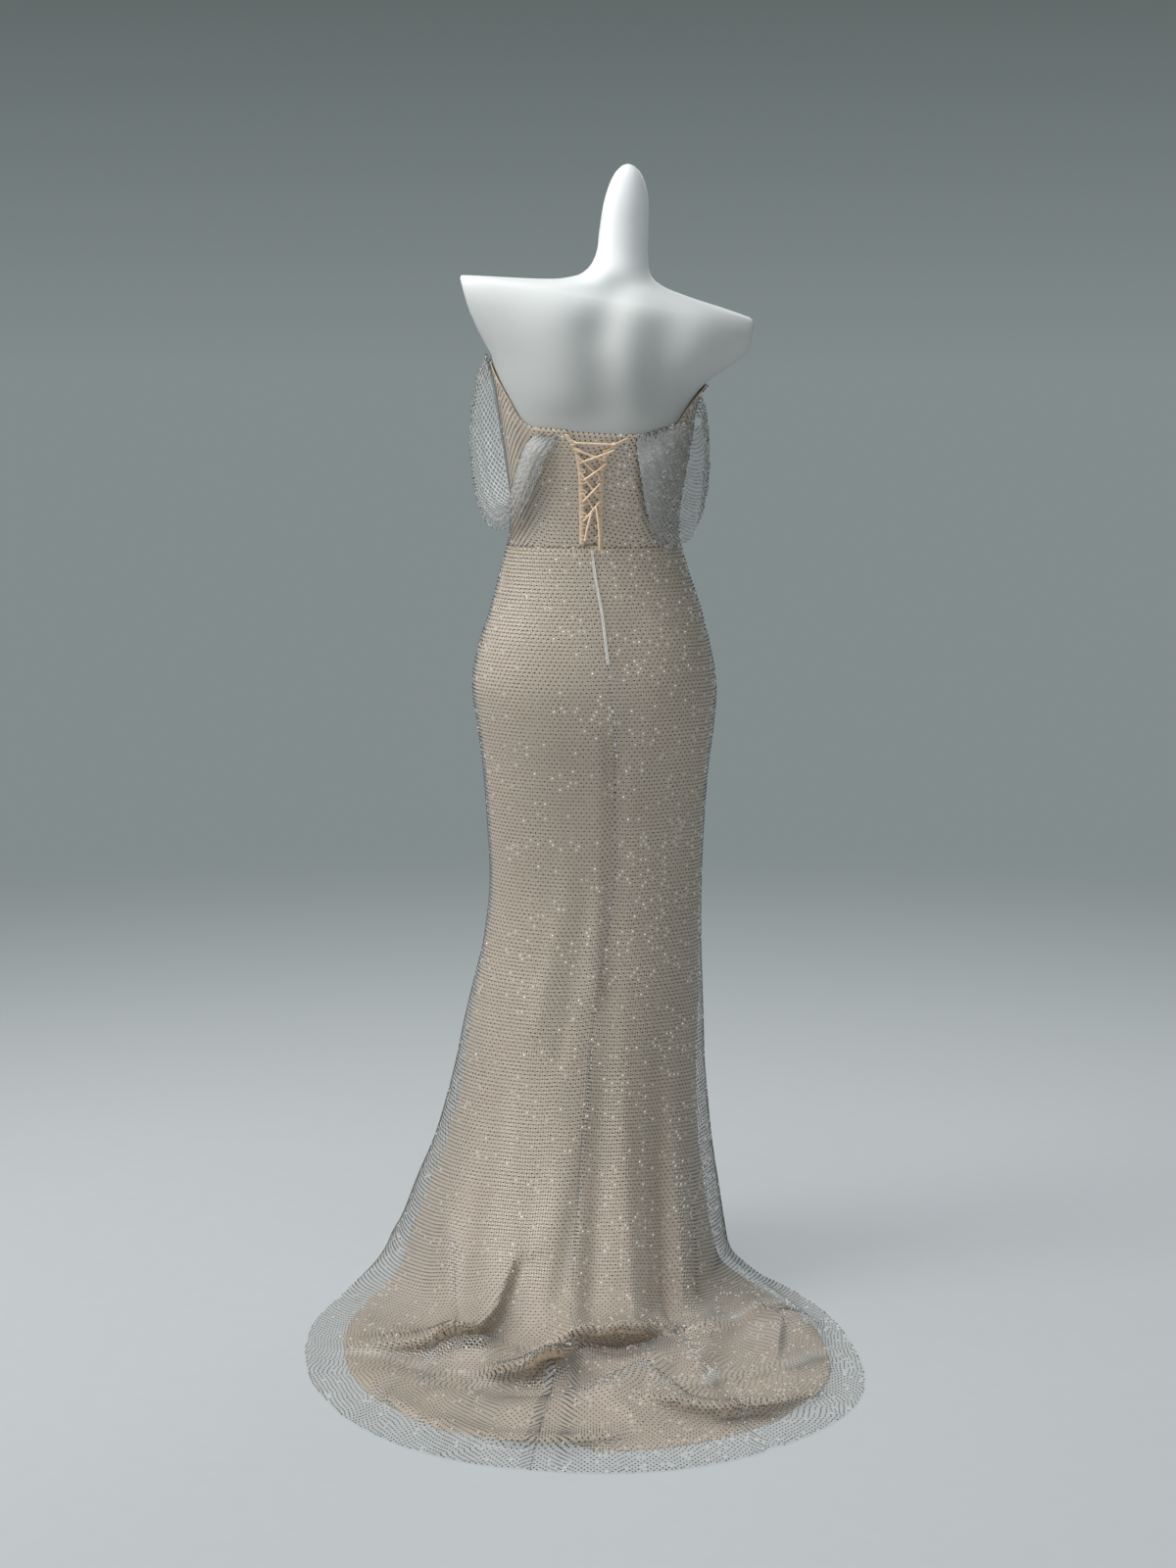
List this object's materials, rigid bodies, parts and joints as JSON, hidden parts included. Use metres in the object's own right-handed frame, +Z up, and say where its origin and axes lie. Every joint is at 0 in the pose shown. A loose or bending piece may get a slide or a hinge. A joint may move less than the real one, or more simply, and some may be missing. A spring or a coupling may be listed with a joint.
{
  "type": "evening gown on a dress form",
  "caption": "Off-shoulder mermaid evening gown of beaded net over a nude lining, with draped sleeves, laced back and train, on a limbless dress form.",
  "frame": {"origin": "on the floor, at the centre of the stand base's underside", "axes": "+Z up along the pole, -Y to the gown's front, +Y to its laced back and train, +X to the wearer's left"},
  "size_m": [0.7369, 1.005, 1.58],
  "materials": {
    "net": "diamond fishnet with a clear rhinestone at every knot",
    "lining": "nude satin lining, soft sheen",
    "trim": "nude satin bias binding and round cord",
    "zip": "off-white woven zip tape",
    "form": "smooth satin white",
    "stand": "satin pale grey paint"
  },
  "bodies": {
    "root": {"dress_form": "form", "stand_base": "stand", "stand_pole": "stand", "modesty_panel": "net", "bodice_lining_front": "lining", "bodice_lining_back_left": "lining", "bodice_lining_back_right": "lining", "bodice_front": "net", "bodice_back_left": "net", "bodice_back_right": "net", "skirt_lining_front": "lining", "skirt_lining_back_left": "lining", "skirt_lining_back_right": "lining", "skirt_front": "net", "skirt_back_left": "net", "skirt_back_right": "net", "sleeve_left": "net", "sleeve_right": "net", "placket_binding_left": "trim", "placket_binding_right": "trim", "lacing_bar": "trim", "lacing_down_1": "trim", "lacing_up_1": "trim", "lacing_down_2": "trim", "lacing_up_2": "trim", "lacing_down_3": "trim", "lacing_up_3": "trim", "lacing_down_4": "trim", "lacing_up_4": "trim", "lacing_tail_left": "trim", "lacing_tail_right": "trim", "zip": "zip"}
  },
  "joints": []
}
